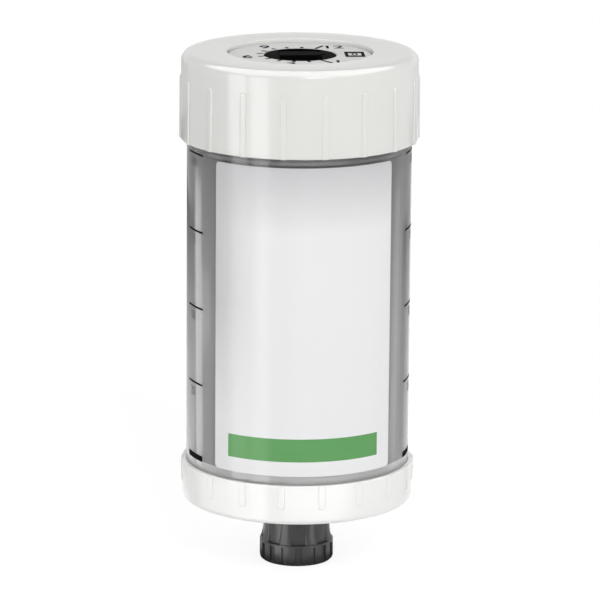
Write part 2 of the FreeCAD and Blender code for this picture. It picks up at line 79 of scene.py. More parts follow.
# ---- Floor, white surroundings and lamps ----
# A plain white floor in a white room that is paler towards the horizon. The floor lets the eye
# through, so that the plug shows when it is screwed down past it. A soft lamp stands in front and
# a low fill lifts the foot. The other lamps and the grey cards behind show in gloss only.
zenith_level = 0.2
horizon_level = 1.25
floor_size = 8.0
floor_matt = 0.8
floor_clear = 0.82
floor_shade = 0.32
lamp_aim = (0.0, 0.0, 60.0)
lamps = [
    # name, bearing from the camera, height, distance, width, tall, strength, lights walls, in gloss
    ("key_lamp", 16.0, 730.0, 1020.0, 400.0, 400.0, 7.6, True, True),
    ("fill_lamp", 14.0, -80.0, 260.0, 400.0, 150.0, 2.4, True, False),
    ("left_lamp", -61.8, -150.0, 1000.0, 338.0, 1500.0, 3.2, False, True),
    ("front_lamp", -38.8, -150.0, 1000.0, 324.0, 1500.0, 3.2, False, True),
    ("rear_lamp", -124.0, -200.0, 1000.0, 230.0, 300.0, 1.9, False, True),
    ("side_lamp", -111.0, -185.0, 1000.0, 300.0, 80.0, 1.0, False, True),
    ("right_lamp", 119.0, -200.0, 1000.0, 190.0, 300.0, 0.8, False, True),
    ("base_left_lamp", -92.0, -250.0, 1000.0, 640.0, 400.0, 1.8, False, True),
    ("base_front_lamp", 18.0, -250.0, 1000.0, 1400.0, 400.0, 2.4, False, True),
    ("plug_lamp", 54.0, -120.0, 1000.0, 260.0, 900.0, 3.0, False, True),
    ("top_lamp", 0.0, 1000.0, 1.0, 2400.0, 1500.0, 4.3, False, True),
]
cards = [
    # name, bearing, height, distance, width, tall, level at the foot and at the head, stops light
    ("left_card", -156.0, -218.0, 1000.0, 800.0, 230.0, 1.4, 0.05, False),
    ("right_card", 139.0, -218.0, 1000.0, 244.0, 230.0, 0.8, 0.2, False),
    ("right_side_card", 153.0, -218.0, 1000.0, 246.0, 230.0, 1.1, 0.5, False),
    ("right_edge_card", 169.0, -218.0, 1000.0, 317.0, 230.0, 1.0, 1.0, False),
    ("left_high_card", -156.0, 5.0, 1000.0, 800.0, 215.0, 0.6, 0.6, False),
    ("right_high_card", 156.0, 5.0, 1000.0, 800.0, 215.0, 0.7, 0.7, False),
    # A black sheet under the plug: it keeps light from below off the plug's foot, and its black in
    # the plug's gloss is painted shade, the floor's shadow round the foot.
    ("foot_card", 0.0, -0.3, 0.0, 28.0, 0.0, 0.0, 0.0, True),
]
card_margin = 1.0


def shown_to_the_eye(material_or_world, seen, other):
    """Joins two shaders: one is seen by the eye, in gloss and through glass, else the other."""
    nodes, links = material_or_world.node_tree.nodes, material_or_world.node_tree.links
    path = nodes.new("ShaderNodeLightPath")
    first = nodes.new("ShaderNodeMath")
    first.operation = "MAXIMUM"
    second = nodes.new("ShaderNodeMath")
    second.operation = "MAXIMUM"
    choice = nodes.new("ShaderNodeMixShader")
    links.new(path.outputs["Is Camera Ray"], first.inputs[0])
    links.new(path.outputs["Is Glossy Ray"], first.inputs[1])
    links.new(first.outputs[0], second.inputs[0])
    links.new(path.outputs["Is Transmission Ray"], second.inputs[1])
    links.new(second.outputs[0], choice.inputs[0])
    links.new(other.outputs[0], choice.inputs[1])
    links.new(seen.outputs[0], choice.inputs[2])
    return choice


world = bpy.data.worlds.new("studio")
bpy.context.scene.world = world
world.use_nodes = True
nodes, links = world.node_tree.nodes, world.node_tree.links
ambient = nodes["Background"]
ambient.inputs["Strength"].default_value = 1.0
way = nodes.new("ShaderNodeTexCoord")
height = nodes.new("ShaderNodeSeparateXYZ")
steep = nodes.new("ShaderNodeMath")
steep.operation = "ABSOLUTE"
level = nodes.new("ShaderNodeMapRange")
level.inputs["To Min"].default_value = horizon_level
level.inputs["To Max"].default_value = zenith_level
links.new(way.outputs["Generated"], height.inputs[0])
links.new(height.outputs["Z"], steep.inputs[0])
links.new(steep.outputs[0], level.inputs["Value"])
links.new(level.outputs["Result"], ambient.inputs["Color"])
white = nodes.new("ShaderNodeBackground")
white.inputs["Color"].default_value = (1.0, 1.0, 1.0, 1.0)
white.inputs["Strength"].default_value = 1.0
sky = shown_to_the_eye(world, white, ambient)
links.new(sky.outputs[0], nodes["World Output"].inputs["Surface"])

bpy.ops.object.select_all(action="DESELECT")
bpy.ops.mesh.primitive_plane_add(size=floor_size)
floor = bpy.context.object
floor.name = "floor"
paper = bpy.data.materials.new("white_paper")
paper.use_nodes = True
nodes, links = paper.node_tree.nodes, paper.node_tree.links
nodes.remove(nodes["Principled BSDF"])
matt = nodes.new("ShaderNodeBsdfDiffuse")
matt.inputs["Color"].default_value = (floor_matt, floor_matt, floor_matt, 1.0)
half_matt = nodes.new("ShaderNodeBsdfDiffuse")
half_matt.inputs["Color"].default_value = (floor_shade, floor_shade, floor_shade, 1.0)
clear = nodes.new("ShaderNodeBsdfTransparent")
clear.inputs["Color"].default_value = (floor_clear, floor_clear, floor_clear, 1.0)
both = nodes.new("ShaderNodeAddShader")
links.new(half_matt.outputs[0], both.inputs[0])
links.new(clear.outputs[0], both.inputs[1])
side = nodes.new("ShaderNodeNewGeometry")
open_below = nodes.new("ShaderNodeBsdfTransparent")
seen = nodes.new("ShaderNodeMixShader")
links.new(side.outputs["Backfacing"], seen.inputs[0])
links.new(both.outputs[0], seen.inputs[1])
links.new(open_below.outputs[0], seen.inputs[2])
ground = shown_to_the_eye(paper, seen, matt)
links.new(ground.outputs[0], nodes["Material Output"].inputs["Surface"])
floor.data.materials.append(paper)
floor.visible_glossy = False
floor.visible_shadow = False

for name, bearing, height, distance, width, tall, strength, lights_walls, in_gloss in lamps:
    angle = camera_turn + math.radians(bearing)
    place = Vector((math.sin(angle) * distance, -math.cos(angle) * distance, height)) * MM
    bpy.ops.object.light_add(type="AREA", location=place)
    lamp = bpy.context.object
    lamp.name = name
    lamp.data.shape = "RECTANGLE"
    lamp.data.size = width * MM
    lamp.data.size_y = tall * MM
    lamp.data.energy = math.pi * lamp.data.size * lamp.data.size_y * strength
    lamp.rotation_euler = (Vector(lamp_aim) * MM - place).to_track_quat("-Z", "Y").to_euler()
    lamp.visible_camera = False
    lamp.visible_diffuse = lights_walls
    lamp.visible_transmission = lights_walls
    lamp.visible_glossy = in_gloss

for name, bearing, height, distance, width, tall, foot_level, head_level, stops_light in cards:
    bpy.ops.object.select_all(action="DESELECT")
    bpy.ops.mesh.primitive_plane_add(size=MM)
    card = bpy.context.object
    card.name = name
    if tall:
        place = Matrix.Rotation(math.pi / 2, 4, "X") @ Matrix.Diagonal((width, tall, 1.0, 1.0))
    else:
        place = Matrix.Diagonal((width, width, 1.0, 1.0))
    card.data.transform(
        Matrix.Rotation(camera_turn + math.radians(bearing), 4, "Z")
        @ Matrix.Translation(Vector((0, -distance, height)) * MM) @ place)
    grey_card = bpy.data.materials.new(name)
    grey_card.use_nodes = True
    nodes, links = grey_card.node_tree.nodes, grey_card.node_tree.links
    nodes.remove(nodes["Principled BSDF"])
    way = nodes.new("ShaderNodeTexCoord")
    split = nodes.new("ShaderNodeSeparateXYZ")
    level = nodes.new("ShaderNodeMapRange")
    level.inputs["From Min"].default_value = (height - tall / 2) * MM
    level.inputs["From Max"].default_value = (height + tall / 2 + card_margin) * MM
    level.inputs["To Min"].default_value = foot_level
    level.inputs["To Max"].default_value = head_level
    glow = nodes.new("ShaderNodeEmission")
    links.new(way.outputs["Object"], split.inputs[0])
    links.new(split.outputs["Z"], level.inputs["Value"])
    links.new(level.outputs["Result"], glow.inputs["Strength"])
    links.new(glow.outputs[0], nodes["Material Output"].inputs["Surface"])
    card.data.materials.append(grey_card)
    card.visible_camera = False
    card.visible_diffuse = stops_light
    card.visible_transmission = stops_light
    card.visible_shadow = stops_light


# ---- Head cap ----
# Screw cap, injection moulded in white polypropylene with a semi-gloss face. Eighteen rounded
# grip ribs run up from its foot, and its open top shows the drive unit's disc.
cap_top_round = 2.0
cap_hole_radius = 16.2
cap_hole_round = 0.2
cap_bore_radius = 25.15
cap_ceiling = 114.5
cap_draft = 0.15
cap_foot_round = 0.3
grips = 18
grip_phase = 8.7
grip_end_share = 0.42
grip_edge_share = 0.9
grip_tip_share = 0.6
cap_grip_width = 1.4
cap_grip_height = 0.3
cap_grip_length = 14.1
cap_edge = 0.06
FRONT = -90.0
touch = 0.01  # mm: a corner this near a line lies on it
weld = 1e-6  # metres: corners this near each other are one


def size_of(node):
    """Outer radius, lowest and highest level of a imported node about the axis, in mm."""
    low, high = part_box(node)
    return max(-low.x, high.x, -low.y, high.y) / MM, low.z / MM, high.z / MM


def pick(piece):
    """Selects one piece alone and makes it the active one."""
    bpy.ops.object.select_all(action="DESELECT")
    piece.select_set(True)
    bpy.context.view_layer.objects.active = piece


def open_piece(piece, select="VERT"):
    """Takes one piece into edit mode with nothing selected."""
    pick(piece)
    bpy.ops.object.mode_set(mode="EDIT")
    bpy.ops.mesh.select_mode(type=select)
    bpy.ops.mesh.select_all(action="DESELECT")
    return bmesh.from_edit_mesh(piece.data)


def close_piece():
    """Leaves edit mode."""
    bpy.ops.mesh.select_mode(type="VERT")
    bpy.ops.object.mode_set(mode="OBJECT")


def turn_faces_out(piece):
    """Makes all faces of a piece point outwards."""
    open_piece(piece)
    bpy.ops.mesh.select_all(action="SELECT")
    bpy.ops.mesh.normals_make_consistent(inside=False)
    close_piece()


def block(centre, size):
    """A square block, its centre and its size in mm."""
    bpy.ops.object.select_all(action="DESELECT")
    bpy.ops.mesh.primitive_cube_add(size=MM)
    piece = bpy.context.object
    piece.data.transform(
        Matrix.Translation(Vector(centre) * MM) @ Matrix.Diagonal((*size, 1.0)))
    return piece


def turned(name, profile, segments=144, closed=True):
    """A round piece drawn from ring to ring through its (radius, height) corners."""
    tiny = 1e-4
    bpy.ops.object.select_all(action="DESELECT")
    radius, height = max(profile[0][0], tiny), profile[0][1]
    bpy.ops.mesh.primitive_circle_add(vertices=segments, radius=radius * MM)
    piece = bpy.context.object
    piece.name = name
    bpy.ops.object.mode_set(mode="EDIT")
    bpy.ops.mesh.select_mode(type="VERT")
    bpy.ops.mesh.select_all(action="SELECT")
    bpy.ops.transform.translate(value=(0, 0, height * MM))
    for next_radius, next_height in profile[1:]:
        next_radius = max(next_radius, tiny)
        step = {"value": (0, 0, (next_height - height) * MM)}
        bpy.ops.mesh.extrude_region_move(TRANSFORM_OT_translate=step)
        spread = next_radius / radius
        seat = (0, 0, next_height * MM)
        bpy.ops.transform.resize(value=(spread, spread, 1), center_override=seat)
        radius, height = next_radius, next_height
    if closed:
        bpy.ops.mesh.select_all(action="DESELECT")
        bpy.ops.mesh.select_non_manifold()
        bpy.ops.mesh.bridge_edge_loops()
    bpy.ops.mesh.select_all(action="SELECT")
    bpy.ops.mesh.remove_doubles(threshold=weld)
    bpy.ops.mesh.normals_make_consistent(inside=False)
    bpy.ops.object.mode_set(mode="OBJECT")
    return piece


def round_rings(piece, places, width, steps):
    """Rounds the circular edges that lie at the given (radius, height) places."""
    mesh = open_piece(piece, "EDGE")
    for edge in mesh.edges:
        for radius, height in places:
            off = [abs(v.co.xy.length / MM - radius) + abs(v.co.z / MM - height)
                   for v in edge.verts]
            if max(off) < touch:
                edge.select_set(True)
    bmesh.update_edit_mesh(piece.data)
    bpy.ops.mesh.bevel(offset=width * MM, segments=steps, affect="EDGES", clamp_overlap=False)
    close_piece()


def grip_bar(foot, end, width, height):
    """One grip rib with a round end, on a wall that leans from the (radius, height) foot up."""
    up = math.copysign(1.0, end[1] - foot[1])
    length = abs(end[1] - foot[1])
    bar = block((0, 0, up * length / 2), (2 * height, width, length))
    bar.name = "grip"
    for offset, steps, wanted in (
        (grip_end_share * width, 6,
         lambda a, b: abs(a.x - b.x) > MM * height and up * a.z > MM * length / 2),
        (grip_edge_share * height, 5,
         lambda a, b: min(a.x, b.x) > 0 and max(up * a.z, up * b.z) > weld),
        (grip_tip_share * height, 4,
         lambda a, b: min(a.x, b.x) > 0 and max(up * a.z, up * b.z) < weld),
    ):
        mesh = open_piece(bar, "EDGE")
        for edge in mesh.edges:
            edge.select_set(wanted(edge.verts[0].co, edge.verts[1].co))
        bmesh.update_edit_mesh(bar.data)
        bpy.ops.mesh.bevel(
            offset=offset * MM, segments=steps, affect="EDGES", clamp_overlap=False)
        close_piece()
    lean = math.atan2(end[0] - foot[0], length) * up
    seat = Vector((foot[0], 0, foot[1])) * MM
    bar.data.transform(Matrix.Translation(seat) @ Matrix.Rotation(lean, 4, "Y"))
    turn_faces_out(bar)
    return bar


def set_round(tool, count, first):
    """Repeats a piece evenly about the axis and joins the copies into one."""
    copies = []
    for i in range(count):
        copy = tool.copy()
        copy.data = tool.data.copy()
        copy.data.transform(Matrix.Rotation(math.radians(first + 360.0 * i / count), 4, "Z"))
        bpy.context.scene.collection.objects.link(copy)
        copies.append(copy)
    bpy.data.objects.remove(tool)
    bpy.ops.object.select_all(action="DESELECT")
    for copy in copies:
        copy.select_set(True)
    bpy.context.view_layer.objects.active = copies[0]
    bpy.ops.object.join()
    return copies[0]


def combine(piece, tool, operation="DIFFERENCE"):
    """Cuts the tool out of the piece, or joins it on, and clears the tool away."""
    join = piece.modifiers.new("join", "BOOLEAN")
    join.operation = operation
    join.solver = "EXACT"
    join.object = tool
    pick(piece)
    bpy.ops.object.modifier_apply(modifier="join")
    bpy.data.objects.remove(tool)


def soften(piece, width=None, steps=2, angle=32.0):
    """Shades the walls smooth and rounds the sharp edges a little, as the mould leaves them."""
    pick(piece)
    bpy.ops.object.shade_smooth_by_angle(angle=math.radians(angle))
    if width:
        edges = piece.modifiers.new("edges", "BEVEL")
        edges.limit_method = "ANGLE"
        edges.angle_limit = math.radians(angle)
        edges.width = width * MM
        edges.segments = steps
        edges.use_clamp_overlap = False
        edges.harden_normals = True
        bpy.ops.object.modifier_apply(modifier="edges")


def shade(level, green=None, blue=None):
    """Colour from 0 to 255 display levels."""
    levels = (level, level if green is None else green, level if blue is None else blue)
    return tuple(((v / 255 + 0.055) / 1.055) ** 2.4 for v in levels) + (1.0,)


def finish_in(name, dark, light, roughness, cloud_size=9.0, grain_size=0.25, relief=0.006):
    """A finish mottled between two near shades, with a fine surface grain; sizes in mm."""
    material = bpy.data.materials.new(name)
    material.use_nodes = True
    nodes, links = material.node_tree.nodes, material.node_tree.links
    shader = nodes["Principled BSDF"]
    shader.inputs["Roughness"].default_value = roughness
    place = nodes.new("ShaderNodeTexCoord")
    cloud = nodes.new("ShaderNodeTexNoise")
    cloud.inputs["Scale"].default_value = 1 / (cloud_size * MM)
    cloud.inputs["Detail"].default_value = 3.0
    tint = nodes.new("ShaderNodeMix")
    tint.name = "tint"
    tint.data_type = "RGBA"
    tint.inputs[6].default_value = dark
    tint.inputs[7].default_value = light
    grain = nodes.new("ShaderNodeTexNoise")
    grain.inputs["Scale"].default_value = 1 / (grain_size * MM)
    bump = nodes.new("ShaderNodeBump")
    bump.name = "grain"
    bump.inputs["Strength"].default_value = 1.0
    bump.inputs["Distance"].default_value = relief * MM
    links.new(place.outputs["Object"], cloud.inputs["Vector"])
    links.new(place.outputs["Object"], grain.inputs["Vector"])
    links.new(cloud.outputs["Fac"], tint.inputs[0])
    links.new(tint.outputs[2], shader.inputs["Base Color"])
    links.new(grain.outputs["Fac"], bump.inputs["Height"])
    links.new(bump.outputs["Normal"], shader.inputs["Normal"])
    return material


def dress(piece, material, body, slot, *nodes_replaced):
    """Gives a piece its material and the body it rides on, and hides the nodes it stands for. The
    slot is not used.
    """
    piece.data.materials.clear()
    piece.data.materials.append(material)
    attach(piece, body)
    if nodes_replaced:
        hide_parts(*nodes_replaced)


cap_crest_radius, cap_foot, cap_top = size_of("head_cap")
cap_foot_radius = cap_crest_radius - cap_grip_height
cap_top_radius = cap_foot_radius - cap_draft
head_cap = turned("head_cap_shell", [
    (cap_hole_radius, cap_top),
    (cap_top_radius, cap_top),
    (cap_foot_radius, cap_foot),
    (cap_bore_radius, cap_foot),
    (cap_bore_radius, cap_ceiling),
    (cap_hole_radius, cap_ceiling),
])
round_rings(head_cap, [(cap_top_radius, cap_top)], cap_top_round, 10)
round_rings(head_cap, [(cap_hole_radius, cap_top)], cap_hole_round, 5)
round_rings(head_cap, [(cap_foot_radius, cap_foot)], cap_foot_round, 5)
cap_grip_end = (cap_foot_radius - cap_draft * cap_grip_length / (cap_top - cap_foot),
                cap_foot + cap_grip_length)
cap_grip = grip_bar((cap_foot_radius, cap_foot), cap_grip_end, cap_grip_width, cap_grip_height)
combine(head_cap, set_round(cap_grip, grips, FRONT + grip_phase), "UNION")
soften(head_cap, cap_edge)
white_gloss = finish_in("white_gloss_plastic", shade(228, 229, 225), shade(232, 233, 229), 0.13,
                        relief=0.002)
white_gloss.node_tree.nodes["Principled BSDF"].inputs["IOR"].default_value = 1.49
dress(head_cap, white_gloss, "housing", "white_gloss", "head_cap")


# ---- Scale plate round the dial ----
# Thin satin white plate, stuck on the disc of the drive unit. Printed on it: twelve strokes
# round the dial, numbers beside some of them, and a framed 0 where the unit is off.
disc_top = 115.6
plate_thickness = 0.1
plate_radius = 15.8
plate_gap = 0.2
plate_round = 0.04
groove_shade_band = 0.1
print_height = 0.02
stroke_from = 8.25
stroke_short = 1.4
stroke_long = 4.2
stroke_width = 0.75
stroke_step = 21.7
first_stroke = 301.0
strokes = 12
number_size = 4.9
number_radius = 12.1
numbers = {1: 9.0, 3: 0.0, 6: 0.0, 9: 0.0, 12: -13.0}
number_weight = 0.08
off_frame_width = 4.4
off_frame_depth = 6.5
off_frame_side = 0.75
off_frame_end = 1.8
off_radius = 12.1
off_size = 3.185


def flat_bar(name, length, width, height):
    """A thin printed bar, lying flat about the origin."""
    bpy.ops.object.select_all(action="DESELECT")
    bpy.ops.mesh.primitive_plane_add(size=MM)
    bar = bpy.context.object
    bar.name = name
    bpy.ops.object.mode_set(mode="EDIT")
    bpy.ops.mesh.select_all(action="SELECT")
    bpy.ops.transform.resize(value=(length, width, 1))
    lift = {"value": (0, 0, height * MM)}
    bpy.ops.mesh.extrude_region_move(TRANSFORM_OT_translate=lift)
    bpy.ops.mesh.select_all(action="SELECT")
    bpy.ops.mesh.normals_make_consistent(inside=False)
    bpy.ops.object.mode_set(mode="OBJECT")
    return bar


def printed_number(name, text, size, height, weight):
    """A printed number: outline letters turned into a thin mesh about the origin."""
    bpy.ops.object.select_all(action="DESELECT")
    bpy.ops.object.text_add()
    letters = bpy.context.object
    letters.data.body = text
    letters.data.size = size * MM
    letters.data.align_x = "CENTER"
    letters.data.align_y = "CENTER"
    letters.data.extrude = height / 2 * MM
    letters.data.offset = weight * MM
    bpy.ops.object.convert(target="MESH")
    number = bpy.context.object
    number.name = name
    number.data.name = name
    return number


def merge_pieces(name, pieces):
    """Joins several pieces into one of the given name."""
    bpy.ops.object.select_all(action="DESELECT")
    for piece in pieces:
        piece.select_set(True)
    bpy.context.view_layer.objects.active = pieces[0]
    bpy.ops.object.join()
    pieces[0].name = name
    return pieces[0]


def share_between(material, distance, low, high):
    """The share, from 0 to 1, that a distance in a finish has come from low to high, in mm."""
    reach = material.node_tree.nodes.new("ShaderNodeMapRange")
    reach.inputs["From Min"].default_value = low * MM
    reach.inputs["From Max"].default_value = high * MM
    material.node_tree.links.new(distance, reach.inputs["Value"])
    return reach.outputs["Result"]


def fade_to(material, share, colour):
    """Fades the colour of a finish to another one by a share."""
    nodes, links = material.node_tree.nodes, material.node_tree.links
    base_colour = nodes["Principled BSDF"].inputs["Base Color"]
    fade = nodes.new("ShaderNodeMix")
    fade.data_type = "RGBA"
    fade.inputs[7].default_value = colour
    links.new(share, fade.inputs[0])
    links.new(base_colour.links[0].from_socket, fade.inputs[6])
    links.new(fade.outputs[2], base_colour)


dial_radius, shaft_foot, grip_top = size_of("selector_dial")
plate_top = disc_top + plate_thickness
plate_bore = dial_radius + plate_gap
plate = turned("scale_plate", [
    (plate_bore, disc_top),
    (plate_bore, plate_top),
    (plate_radius, plate_top),
    (plate_radius, disc_top),
])
round_rings(plate, [(plate_bore, plate_top), (plate_radius, plate_top)], plate_round, 3)
soften(plate)

scale_print = []
for i in range(strokes):
    angle = math.radians(first_stroke - stroke_step * i)
    length = stroke_long if i in (0, strokes - 1) else stroke_short
    stroke = flat_bar("stroke", length, stroke_width, print_height)
    seat = Vector((stroke_from + length / 2, 0, plate_top)) * MM
    stroke.data.transform(Matrix.Rotation(angle, 4, "Z") @ Matrix.Translation(seat))
    scale_print.append(stroke)
for value, aside in numbers.items():
    number = printed_number("number", str(value), number_size, print_height, number_weight)
    angle = math.radians(first_stroke - stroke_step * (value - 1) + aside)
    spot = Vector((math.cos(angle) * number_radius, math.sin(angle) * number_radius,
                   plate_top + print_height / 2)) * MM
    number.data.transform(Matrix.Translation(spot))
    scale_print.append(number)
frame_x = (off_frame_width - off_frame_side) / 2
frame_y = (off_frame_depth - off_frame_end) / 2
for x, y, length, width in (
    (-frame_x, 0.0, off_frame_side, off_frame_depth),
    (frame_x, 0.0, off_frame_side, off_frame_depth),
    (0.0, frame_y, off_frame_width - 2 * off_frame_side, off_frame_end),
    (0.0, -frame_y, off_frame_width - 2 * off_frame_side, off_frame_end),
):
    side = flat_bar("side", length, width, print_height)
    side.data.transform(Matrix.Translation(Vector((off_radius + x, y, plate_top)) * MM))
    scale_print.append(side)
off_sign = printed_number("off", "0", off_size, print_height, number_weight / 2)
off_seat = Vector((off_radius, 0, plate_top + print_height / 2)) * MM
off_sign.data.transform(Matrix.Translation(off_seat))
scale_print.append(off_sign)
dial_scale = merge_pieces("dial_scale_print", scale_print)
black_print = finish_in("black_print", shade(16), shade(26), 0.6, cloud_size=1.5, relief=0.001)
black_print.node_tree.nodes["Principled BSDF"].inputs["Specular IOR Level"].default_value = 0.01
dress(dial_scale, black_print, "housing", "dial_black")
white_satin = finish_in("white_satin_plastic", shade(203, 203, 200), shade(208, 208, 206), 0.5)
dress(plate, white_satin, "housing", "white_satin")

# The disc keeps its imported shape; its finish has painted shade, dark in the groove round the
# plate.
groove_shade_satin = finish_in("grooved_satin_plastic", shade(206, 206, 203), shade(211, 211, 209), 0.55)
nodes, links = groove_shade_satin.node_tree.nodes, groove_shade_satin.node_tree.links
across = nodes.new("ShaderNodeVectorMath")
across.operation = "MULTIPLY"
across.inputs[1].default_value = (1.0, 1.0, 0.0)
from_axis = nodes.new("ShaderNodeVectorMath")
from_axis.operation = "LENGTH"
links.new(nodes["Texture Coordinate"].outputs["Object"], across.inputs[0])
links.new(across.outputs[0], from_axis.inputs[0])
groove_shade_share = share_between(
    groove_shade_satin, from_axis.outputs["Value"], plate_radius - groove_shade_band, plate_radius)
fade_to(groove_shade_satin, groove_shade_share, shade(104, 104, 100))
drive_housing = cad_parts["drive_housing"]
drive_housing.data.materials.clear()
drive_housing.data.materials.append(groove_shade_satin)


# ---- Selector dial ----
# Black glass-filled nylon knob: two finger wells with a pointed grip bar between them. Its
# shaft runs down through the disc and carries the wiper.
dial_segments = 96
dial_rim = 0.9
dial_round = 0.35
well_depth = 0.9
well_half_length = 4.7
grip_width = 5.0
grip_height = 0.3
pointer_length = 1.6
dial_sink = 1.2
shaft_radius = 2.5
dimple_radius = 0.5
dial_edge = 0.12
dial_face = grip_top - grip_height
dial_under = dial_face - dial_sink
dial = turned("dial_knob", [
    (0.0, dial_face),
    (dial_radius, dial_face),
    (dial_radius, dial_under),
    (shaft_radius, dial_under),
    (shaft_radius, shaft_foot),
    (0.0, shaft_foot),
], dial_segments, closed=False)
round_rings(dial, [(dial_radius, dial_face)], dial_round, 4)
bpy.ops.object.select_all(action="DESELECT")
bpy.ops.mesh.primitive_cylinder_add(
    vertices=dial_segments, radius=(dial_radius - dial_rim) * MM, depth=2 * well_depth * MM)
well = bpy.context.object
bpy.ops.object.mode_set(mode="EDIT")
bpy.ops.mesh.select_all(action="SELECT")
bpy.ops.transform.translate(value=(0, 0, dial_face * MM))
for spot, facing in (
    ((0, grip_width / 2, 0), (0, -1, 0)),
    ((well_half_length, 0, 0), (1, 0, 0)),
    ((-well_half_length, 0, 0), (-1, 0, 0)),
):
    bpy.ops.mesh.select_all(action="SELECT")
    bpy.ops.mesh.bisect(
        plane_co=Vector(spot) * MM, plane_no=facing, clear_outer=True, use_fill=True)
bpy.ops.object.mode_set(mode="OBJECT")
combine(dial, set_round(well, 2, 0.0))
grip_tall = well_depth + grip_height
bpy.ops.object.select_all(action="DESELECT")
bpy.ops.mesh.primitive_cube_add(size=MM)
grip = bpy.context.object
bpy.ops.object.mode_set(mode="EDIT")
bpy.ops.mesh.select_all(action="SELECT")
bpy.ops.transform.resize(value=(2 * well_half_length, grip_width, grip_tall))
bpy.ops.transform.translate(value=(0, 0, (grip_top - grip_tall / 2) * MM))
bpy.ops.object.mode_set(mode="OBJECT")
mesh = open_piece(grip, "EDGE")
for edge in mesh.edges:
    upright = abs(edge.verts[0].co.z - edge.verts[1].co.z) > MM * grip_tall / 2
    edge.select_set(upright and edge.verts[0].co.x > 0)
bmesh.update_edit_mesh(grip.data)
bpy.ops.mesh.bevel(offset=pointer_length * MM, segments=1, affect="EDGES", offset_type="WIDTH")
close_piece()
combine(dial, grip, "UNION")
bpy.ops.object.select_all(action="DESELECT")
bpy.ops.mesh.primitive_uv_sphere_add(segments=24, ring_count=12, radius=dimple_radius * MM)
dimple = bpy.context.object
dimple_seat = Vector((well_half_length + dimple_radius, 0, dial_face)) * MM
dimple.data.transform(Matrix.Translation(dimple_seat))
combine(dial, dimple)
soften(dial, dial_edge)
dial_black = finish_in("black_nylon", shade(10), shade(16), 0.5, cloud_size=3.0, relief=0.01)
dial_black.node_tree.nodes["Principled BSDF"].inputs["Specular IOR Level"].default_value = 0.002
dress(dial, dial_black, "dial", "dial_black", "selector_dial")


# ---- Reservoir ----
# Clear tube, injection moulded in polycarbonate, so that the grease and the piston show. Its
# last stretch, just under the cap, is tinted grey as painted shade, the cap's shadow on it.
tube_wall = 1.1
tube_round = 0.2
tube_segments = 288
cap_shade_from = 95.9
cap_shade_to = 96.5


def light_alone(name, piece, *lamp_names):
    """Lets the named lamps shine on this piece only."""
    lit = bpy.data.collections.new(name)
    lit.objects.link(piece)
    for lamp_name in lamp_names:
        bpy.data.objects[lamp_name].light_linking.receiver_collection = lit


def place_in(material):
    """The sockets that say where a point of a finish lies, by X, Y and Z."""
    nodes, links = material.node_tree.nodes, material.node_tree.links
    split = nodes.new("ShaderNodeSeparateXYZ")
    links.new(nodes["Texture Coordinate"].outputs["Object"], split.inputs[0])
    return split.outputs


tube_radius, tube_foot, tube_top = size_of("reservoir")
bore_radius = tube_radius - tube_wall
tube = turned("clear_tube", [
    (tube_radius, tube_foot),
    (tube_radius, tube_top),
    (bore_radius, tube_top),
    (bore_radius, tube_foot),
], tube_segments)
round_rings(tube, [(tube_radius, tube_top), (bore_radius, tube_top),
                   (tube_radius, tube_foot), (bore_radius, tube_foot)], tube_round, 3)
soften(tube)
clear_plastic = finish_in("clear_plastic", shade(240, 241, 240), shade(243, 244, 243), 0.12,
                          cloud_size=30.0, grain_size=6.0, relief=0.002)
shader = clear_plastic.node_tree.nodes["Principled BSDF"]
shader.inputs["Transmission Weight"].default_value = 1.0
shader.inputs["IOR"].default_value = 1.5
shader.inputs["Specular IOR Level"].default_value = 0.2
# Painted shade: grey over the last stretch under the cap, standing in for the cap's shadow.
cap_shade_share = share_between(clear_plastic, place_in(clear_plastic)["Z"], cap_shade_from, cap_shade_to)
fade_to(clear_plastic, cap_shade_share, shade(180))
dress(tube, clear_plastic, "housing", "clear_plastic", "reservoir")
light_alone("tube_lamps", tube, "rear_lamp", "side_lamp", "right_lamp")


# ---- Level marks on the tube ----
# Printed in black on both sides of the label: a stroke at each quarter of the charge with its
# percentage below, and a block at the empty level. The print sits a little round from the label.
marks_turn = 2.8
mark_inner = 64.0
mark_outer = 81.6
mark_line = 0.45
mark_lift = 0.02
mark_steps = 12
charge_foot = 25.8
charge_height = 69.3
quarters = 4
empty_block = 1.3
percent_size = 2.7
percent_weight = 0.03
percent_drop = 1.9
percent_angle = 75.0


def wrapped_patch(name, radius, middle, half, low, high):
    """A thin film on the tube's wall: an upright edge swept round the axis."""
    bpy.ops.object.select_all(action="DESELECT")
    bpy.ops.mesh.primitive_plane_add(size=MM)
    patch = bpy.context.object
    patch.name = name
    mesh = open_piece(patch)
    for v in mesh.verts:
        v.select_set(v.co.x < 0)
    bmesh.update_edit_mesh(patch.data)
    bpy.ops.mesh.delete(type="VERT")
    bpy.ops.mesh.select_all(action="SELECT")
    bpy.ops.transform.resize(value=(1, high - low, 1), center_override=(0, 0, 0))
    bpy.ops.object.mode_set(mode="OBJECT")
    seat = Vector((radius, 0, (low + high) / 2)) * MM
    patch.data.transform(
        Matrix.Rotation(math.radians(middle - half), 4, "Z")
        @ Matrix.Translation(seat)
        @ Matrix.Rotation(math.pi / 2, 4, "X")
        @ Matrix.Translation((-MM / 2, 0, 0)))
    open_piece(patch)
    bpy.ops.mesh.select_all(action="SELECT")
    bpy.ops.mesh.spin(
        steps=mark_steps, angle=-2 * math.radians(half), center=(0, 0, 0), axis=(0, 0, 1))
    bpy.ops.mesh.select_all(action="SELECT")
    bpy.ops.mesh.remove_doubles(threshold=weld)
    close_piece()
    return patch


